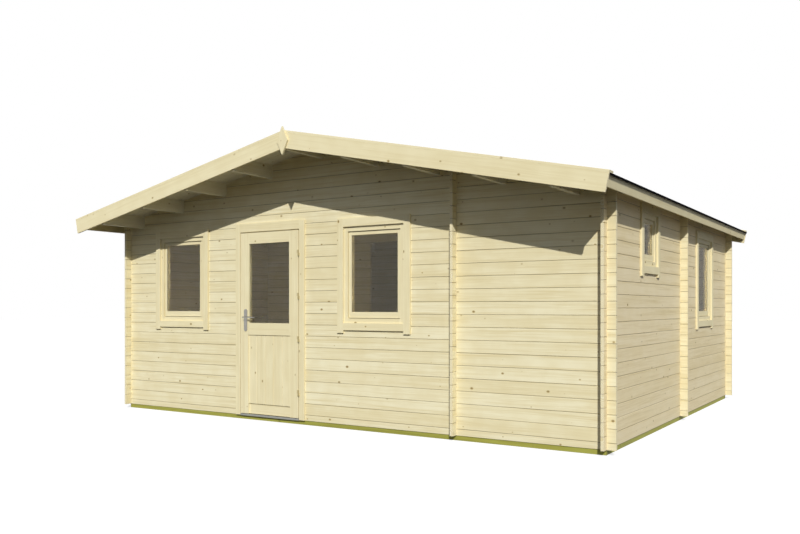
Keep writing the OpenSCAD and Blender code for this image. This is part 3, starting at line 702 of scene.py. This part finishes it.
def row_tree():
    """Node tree that lays copies of one board in a row, each with a seed of its own."""
    name = "Row of boards"
    if name in bpy.data.node_groups:
        return bpy.data.node_groups[name]
    tree = bpy.data.node_groups.new(name, "GeometryNodeTree")
    for label, kind in (
        ("Board", "Object"), ("Count", "Int"), ("Start", "Vector"), ("Pitch", "Vector"), ("Seed", "Int"),
        ("Finish", "Material"),
    ):
        tree.interface.new_socket(label, in_out="INPUT", socket_type="NodeSocket" + kind)
    tree.interface.new_socket("Row", in_out="OUTPUT", socket_type="NodeSocketGeometry")
    given = add(tree, "NodeGroupInput").outputs
    line = add(
        tree, "GeometryNodeMeshLine",
        {"Count": given["Count"], "Start Location": given["Start"], "Offset": given["Pitch"]}, mode="OFFSET",
    )
    board = add(tree, "GeometryNodeObjectInfo", {"Object": given["Board"]}, transform_space="ORIGINAL")
    laid = add(
        tree, "GeometryNodeInstanceOnPoints", {"Points": line, "Instance": board.outputs["Geometry"]}
    )
    random = add(
        tree, "FunctionNodeRandomValue", {2: 0.0, 3: ROW_SEEDS, "Seed": given["Seed"]}, data_type="FLOAT"
    )
    marked = add(
        tree, "GeometryNodeStoreNamedAttribute",
        {"Geometry": laid, "Name": "seed", "Value": random.outputs[1]}, data_type="FLOAT", domain="INSTANCE",
    )
    real = add(tree, "GeometryNodeRealizeInstances", {"Geometry": marked})
    finished = add(tree, "GeometryNodeSetMaterial", {"Geometry": real, "Material": given["Finish"]})
    add(tree, "NodeGroupOutput", {"Row": finished})
    return tree


def grow(name, tree, values):
    """Object with the plain mesh that a node tree makes from the given inputs."""
    piece = bpy.data.objects.new(name, bpy.data.meshes.new(name + "_base"))
    bpy.context.scene.collection.objects.link(piece)
    modifier = piece.modifiers.new("Shape", "NODES")
    modifier.node_group = tree
    for item in tree.interface.items_tree:
        if item.in_out == "INPUT" and item.name in values:
            modifier[item.identifier] = values[item.name]
    graph = bpy.context.evaluated_depsgraph_get()
    mesh = bpy.data.meshes.new_from_object(
        piece.evaluated_get(graph), preserve_all_data_layers=True, depsgraph=graph
    )
    piece.modifiers.remove(modifier)
    piece.data = mesh
    mesh.name = name
    return piece


def template(shape, name, along, out, bevel=0.0):
    """Loose object for a row of boards with bevelled edges, with the grain's direction on its faces."""
    if bevel:
        soften(shape, bevel)
    shape.normal_update()
    along_layer = shape.faces.layers.float_vector.new("along")
    out_layer = shape.faces.layers.float_vector.new("out")
    for face in shape.faces:
        face[along_layer] = along
        face[out_layer] = out
    return bpy.data.objects.new(name, as_mesh(shape, name))


def bar(section, axis, low, high):
    """Bmesh bar along X or Y (axis 0 or 1) between two places, with a section of level and height points."""
    shape = bmesh.new()
    ends = []
    for place in (low, high):
        points = [(place, a, z) if axis == 0 else (a, place, z) for a, z in section]
        ends.append([shape.verts.new(point) for point in points])
        shape.faces.new(ends[-1])
    for i in range(len(section)):
        shape.faces.new((ends[0][i - 1], ends[0][i], ends[1][i], ends[1][i - 1]))
    bmesh.ops.recalc_face_normals(shape, faces=shape.faces)
    return shape


def turned(profile, radius, out):
    """Bmesh turned from a profile, standing out of a face in the direction of out."""
    shape = bmesh.new()
    verts = [shape.verts.new((share * radius, 0, height * radius)) for share, height in profile]
    edges = [shape.edges.new(pair) for pair in zip(verts, verts[1:])]
    bmesh.ops.spin(
        shape, geom=verts + edges, axis=AXES[2], cent=(0, 0, 0), angle=math.tau, steps=TURN_STEPS,
        use_merge=True,
    )
    bmesh.ops.remove_doubles(shape, verts=shape.verts, dist=WELD)
    bmesh.ops.dissolve_degenerate(shape, edges=shape.edges, dist=WELD)
    bmesh.ops.rotate(shape, verts=shape.verts, matrix=out.to_track_quat("Z", "X").to_matrix())
    bmesh.ops.recalc_face_normals(shape, faces=shape.faces)
    return shape


def lay_row(name, board, count, start, pitch, seed, finish):
    """Row of boards as a plain object. The loose board goes when the row is laid."""
    piece = grow(name, row_tree(), {
        "Board": board, "Count": count, "Start": start, "Pitch": pitch, "Seed": seed,
        "Finish": named_material(finish),
    })
    bpy.data.objects.remove(board)
    return piece


class CABIN_OT_log_walls(bpy.types.Operator):
    """Gives the log walls their spruce, with the grain along the logs"""

    bl_idname = "cabin.log_walls"
    bl_label = "Log walls"

    def execute(self, context):
        """Paints each wall, with a number of its own so that no two walls share their logs."""
        for number, node in enumerate(LOGS_ACROSS + LOGS_DEEP):
            NODES[node].pass_index = number + 1
            # The right wall gets its own warmer copy of the spruce, with painted warm light
            way = "across" if node in LOGS_ACROSS else "right" if node == "right_wall" else "deep"
            paint(node, "spruce_logs_" + way)
        return {"FINISHED"}


class CABIN_OT_roof(bpy.types.Operator):
    """Lays the roof boards, the purlins and the felt"""

    bl_idname = "cabin.roof"
    bl_label = "Roof"

    def execute(self, context):
        """Cuts each slope into boards that run down from the ridge, and strips of felt along it."""
        sizes = context.scene.cabin_sizes
        for seed, side in enumerate(("left", "right")):
            node = side + "_roof_boards"
            low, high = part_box(node)
            count, pitch = spacing(low.y, high.y, sizes.roof_board_w)
            shape = merged(node)
            half = (pitch - sizes.joint) / 2
            for vert in shape.verts:
                vert.co.y = half if vert.co.y > 0 else -half
            shape.normal_update()
            normal = top_face(shape).normal.copy()
            board = template(shape, side + "_roof_board", AXES[1].cross(normal), normal, sizes.joint_bevel)
            # Roof boards take the paler, cooler copy of the spruce, a painted shade tint
            row = lay_row(
                "planed_" + node, board, count, (0, low.y + pitch / 2, 0), (0, pitch, 0), seed, "shade_tinted_spruce"
            )
            present(row, CABIN, "shade_tinted_spruce", [node])
            paint(side + "_roof_felt", "bitumen_felt")
        self.lap_felt(sizes)
        # Purlins take the paler, cooler copy of the spruce, a painted shade tint
        for node in PURLINS:
            boards(node, CABIN, "shade_tinted_spruce")
        return {"FINISHED"}

    def lap_felt(self, sizes):
        """Lays the lapped edges of the felt strips on both slopes, and one more strip over the ridge."""
        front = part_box("front_cover_boards")[1].y
        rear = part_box("rear_cover_boards")[0].y
        feet = []
        for seed, side in enumerate(("left", "right")):
            shape = merged(side + "_roof_felt")
            shape.normal_update()
            broad = top_face(shape)
            up = broad.normal.copy()
            down = AXES[1].cross(up) if up.x > 0 else up.cross(AXES[1])
            top = broad.verts[0].co
            ridge = Vector((0, 0, top.z + top.x * up.x / up.z))
            reach = max((vert.co - ridge).dot(down) for vert in broad.verts)
            shape.free()
            sunk = ridge - up * sizes.felt_t / 2
            high = ridge + up * sizes.felt_t
            section = [(p.x, p.z) for p in (sunk, high, sunk - down * sizes.felt_ease)]
            strip = template(bar(section, 1, front, rear), side + "_felt_lap", AXES[1], up)
            count = int((reach - sizes.felt_ease) / sizes.felt_w)
            row = lay_row(
                side + "_felt_laps", strip, count, down * (reach - count * sizes.felt_w),
                down * sizes.felt_w, seed, "bitumen_felt",
            )
            present(row, CABIN, "bitumen_felt", [])
            feet.append([sunk + down * sizes.ridge_w, high + down * sizes.ridge_w])
        apex = Vector((0, 0, ridge.z + sizes.felt_t / up.z))
        under = Vector((0, 0, sunk.z))
        section = [(p.x, p.z) for p in (*feet[0], apex, *reversed(feet[1]), under)]
        settle(bar(section, 1, front, rear), "ridge_felt", CABIN, "bitumen_felt", [])


class CABIN_OT_roof_trim(bpy.types.Operator):
    """Planes the barge, cover and eave boards and the finials"""

    bl_idname = "cabin.roof_trim"
    bl_label = "Roof trim"

    def execute(self, context):
        """Makes each board anew with softened arrises."""
        for node in ROOF_TRIM:
            boards(node, CABIN, "planed_spruce")
        for node in FINIALS:
            boards(node, CABIN, "planed_spruce", AXES[2])
        return {"FINISHED"}


class CABIN_OT_windows(bpy.types.Operator):
    """Makes the windows' casings, frames and sashes, and gives the panes their glass"""

    bl_idname = "cabin.windows"
    bl_label = "Windows"

    def execute(self, context):
        """Grain follows each casing board, stile and rail."""
        boards("window_casings", CABIN, "planed_spruce")
        framed("window_frames", CABIN, "planed_spruce")
        framed("window_sashes", CABIN, "planed_spruce")
        paint("window_panes", "float_glass")
        return {"FINISHED"}


class CABIN_OT_door(bpy.types.Operator):
    """Makes the door's frame, casing, leaf, panel and fittings"""

    bl_idname = "cabin.door"
    bl_label = "Door"

    def execute(self, context):
        """Fixed pieces stay with the cabin, and the leaf with all that it carries turns with the door."""
        sizes = context.scene.cabin_sizes
        for node in ("door_frame", "door_stops", "door_casing"):
            boards(node, CABIN, "planed_spruce")
        framed("door_leaf", DOOR, "planed_spruce")
        low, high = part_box("door_panel")
        count, pitch = spacing(low.x, high.x, sizes.panel_board_w)
        half = (pitch - sizes.joint) / 2
        middle = (low.y + high.y) / 2
        foot, head = low.z + sizes.panel_gap, high.z - sizes.panel_gap
        section = [
            (low.y, foot), (low.y, head), (middle, head), (middle, high.z),
            (high.y, high.z), (high.y, low.z), (middle, low.z), (middle, foot),
        ]
        board = template(bar(section, 0, -half, half), "panel_board", AXES[2], AXES[1], sizes.joint_bevel)
        row = lay_row(
            "planed_door_panel", board, count, (low.x + pitch / 2, 0, 0), (pitch, 0, 0), PANEL_SEED,
            "planed_spruce",
        )
        present(row, DOOR, "planed_spruce", ["door_panel"])
        paint("door_glass", "float_glass")
        paint("door_handles", "brushed_stainless")
        for node in ("hinge_knuckles", "hinge_pins"):
            paint(node, "plated_steel")
        paint("door_threshold", "mill_aluminium")
        self.dress_plates(sizes)
        return {"FINISHED"}

    def dress_plates(self, sizes):
        """Screws each handle plate down at both ends and sets the lock cylinder in it."""
        finish = "brushed_stainless"
        low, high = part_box("door_handles")
        reach = (high.z - low.z) / 2 - sizes.screw_inset
        handles = merged("door_handles")
        handles.normal_update()
        for side, out in (("outer", -AXES[1]), ("inner", AXES[1])):
            facing = [face for face in handles.faces if face.normal.dot(out) > FACING]
            # One plate's face and the other plate's back are the two largest, and the face lies further out
            largest = sorted(facing, key=lambda face: face.calc_area())[-2:]
            plate = max(largest, key=lambda face: face.calc_center_median().dot(out))
            corners = [vert.co for vert in plate.verts]
            middle = Vector((sum(span(corners, 0)) / 2, corners[0].y, (low.z + high.z) / 2))
            screw = template(turned(SCREW, sizes.screw_r, out), side + "_screw", AXES[2], out)
            screws = lay_row(
                side + "_plate_screws", screw, 2, middle - AXES[2] * reach, AXES[2] * 2 * reach, 0, finish
            )
            present(screws, DOOR, finish, [])
            lock = turned(LOCK, sizes.lock_r, out)
            bmesh.ops.translate(lock, verts=lock.verts, vec=middle - AXES[2] * sizes.lock_drop)
            settle(lock, side + "_lock", DOOR, finish, [])
        handles.free()


class CABIN_OT_ground_frame(bpy.types.Operator):
    """Planes the treated foundation beams and joists, and lays the floor boards"""

    bl_idname = "cabin.ground_frame"
    bl_label = "Ground frame and floor"

    def execute(self, context):
        """Beams are impregnated pine, and the floor is spruce."""
        for node in GROUND_FRAME:
            boards(node, CABIN, "treated_pine")
        self.groove_floor(context.scene.cabin_sizes)
        return {"FINISHED"}

    def groove_floor(self, sizes):
        """Cuts the floor into boards that run side to side, with a bevelled groove between each two."""
        low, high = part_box("floor")
        count, pitch = spacing(low.y, high.y, sizes.floor_board_w)
        shape = bmesh.new()
        shape.from_mesh(NODES["floor"].data)
        bmesh.ops.remove_doubles(shape, verts=shape.verts, dist=WELD)
        for number in range(1, count):
            joint = low.y + number * pitch
            for place in (joint - sizes.joint_bevel, joint, joint + sizes.joint_bevel):
                cut(shape, 1, place)
            for vert in shape.verts:
                if abs(vert.co.y - joint) < WELD and vert.co.z > high.z - WELD:
                    vert.co.z -= sizes.joint_bevel
        along, out, seed = grain_layers(shape)
        for face in shape.faces:
            face[along] = AXES[0]
            face[out] = AXES[2]
            face[seed] = int((face.calc_center_median().y - low.y) / pitch)
        settle(shape, "planed_floor", CABIN, "planed_spruce", ["floor"])


class CABIN_OT_stage(bpy.types.Operator):
    """Sets the camera where the photo was taken, the sun, the soft light and a pale floor"""

    bl_idname = "cabin.stage"
    bl_label = "Stage"

    def execute(self, context):
        """Sets up the camera, the lamps and what stands around the cabin."""
        scene = context.scene
        stage = scene.cabin_stage
        self.set_camera(scene, stage)
        self.set_sun(scene, stage)
        self.lay_floor(scene, stage)
        self.stand_card(scene, stage)
        self.light_world(scene, stage)
        scene.view_settings.view_transform = "Standard"
        return {"FINISHED"}

    def set_camera(self, scene, stage):
        """Puts the camera upright where the photo was taken."""
        camera = bpy.data.objects.new("camera", bpy.data.cameras.new("camera"))
        camera.data.sensor_width = SENSOR_W
        camera.data.lens = stage.lens
        camera.data.shift_y = stage.shift_y
        camera.location = stage.camera_place
        camera.rotation_euler = (math.pi / 2, 0, stage.camera_turn)
        scene.collection.objects.link(camera)
        scene.camera = camera

    def set_sun(self, scene, stage):
        """Hangs the sun, which gives the crisp shadows."""
        sun = bpy.data.objects.new("sun", bpy.data.lights.new("sun", "SUN"))
        sun.data.energy = stage.sun
        sun.data.angle = stage.sun_spread
        sun.rotation_mode = "QUATERNION"
        sun.rotation_quaternion = Vector(stage.sun_way).to_track_quat("-Z", "Y")
        scene.collection.objects.link(sun)

    def lay_floor(self, scene, stage):
        """Lays the pale floor just under the cabin."""
        shape = bmesh.new()
        bmesh.ops.create_grid(shape, x_segments=1, y_segments=1, size=stage.floor_reach)
        mesh = as_mesh(shape, "floor_plane")
        mesh.materials.append(floor_finish("studio_floor", stage))
        ground = bpy.data.objects.new("studio_ground", mesh)
        ground.location.z = -stage.floor_drop
        scene.collection.objects.link(ground)

    def stand_card(self, scene, stage):
        """Stands a grey card beside the view, only for glass and metal to mirror."""
        low, high = stage.card_low, stage.card_high
        section = [(low[0], low[2]), (high[0], low[2]), (high[0], high[2]), (low[0], high[2])]
        mesh = as_mesh(bar(section, 1, low[1], high[1]), "grey_card")
        mesh.materials.append(card_finish("matt_card", stage))
        card = bpy.data.objects.new("grey_card", mesh)
        for ray in ("camera", "diffuse", "transmission", "shadow"):
            setattr(card, "visible_" + ray, False)
        scene.collection.objects.link(card)

    def light_world(self, scene, stage):
        """Lights the world softly all round, and shows it white behind the cabin."""
        world = bpy.data.worlds.new("soft_light")
        world.use_nodes = True
        tree = world.node_tree
        tree.nodes.clear()
        shown = seen(tree)
        strength = ranged(tree, shown, 0.0, 1.0, stage.fill, 1.0)
        tint = blend(tree, shown, stage.fill_tone, grey(1.0))
        light = add(tree, "ShaderNodeBackground", {"Color": tint, "Strength": strength})
        add(tree, "ShaderNodeOutputWorld", {"Surface": light})
        scene.world = world


class CABIN_PT_panel(bpy.types.Panel):
    """Sidebar panel with the cabin's steps and settings"""

    bl_idname = "CABIN_PT_panel"
    bl_label = "Log cabin"
    bl_space_type = "VIEW_3D"
    bl_region_type = "UI"
    bl_category = "Cabin"

    def draw(self, context):
        """Lists the steps, then every setting."""
        for step in STEPS:
            self.layout.operator(step.bl_idname)
        for name in GROUPS:
            group = getattr(context.scene, name)
            for key in group.__annotations__:
                self.layout.prop(group, key)


STEPS = (
    CABIN_OT_log_walls, CABIN_OT_roof, CABIN_OT_roof_trim, CABIN_OT_windows, CABIN_OT_door,
    CABIN_OT_ground_frame, CABIN_OT_stage,
)
GROUPS = {"cabin_sizes": CabinSizes, "cabin_colours": CabinColours, "cabin_stage": CabinStage}


def register():
    """Registers the settings, the steps and the panel."""
    for name, group in GROUPS.items():
        bpy.utils.register_class(group)
        setattr(bpy.types.Scene, name, bpy.props.PointerProperty(type=group))
    for step in STEPS:
        bpy.utils.register_class(step)
    bpy.utils.register_class(CABIN_PT_panel)


def unregister():
    """Takes the panel, the steps and the settings out again."""
    bpy.utils.unregister_class(CABIN_PT_panel)
    for step in reversed(STEPS):
        bpy.utils.unregister_class(step)
    for name, group in GROUPS.items():
        delattr(bpy.types.Scene, name)
        bpy.utils.unregister_class(group)


def main():
    """Dresses the frame step by step."""
    register()
    bpy.ops.cabin.log_walls()
    bpy.ops.cabin.roof()
    bpy.ops.cabin.roof_trim()
    bpy.ops.cabin.windows()
    bpy.ops.cabin.door()
    bpy.ops.cabin.ground_frame()
    bpy.ops.cabin.stage()


if __name__ == "__main__":
    main()
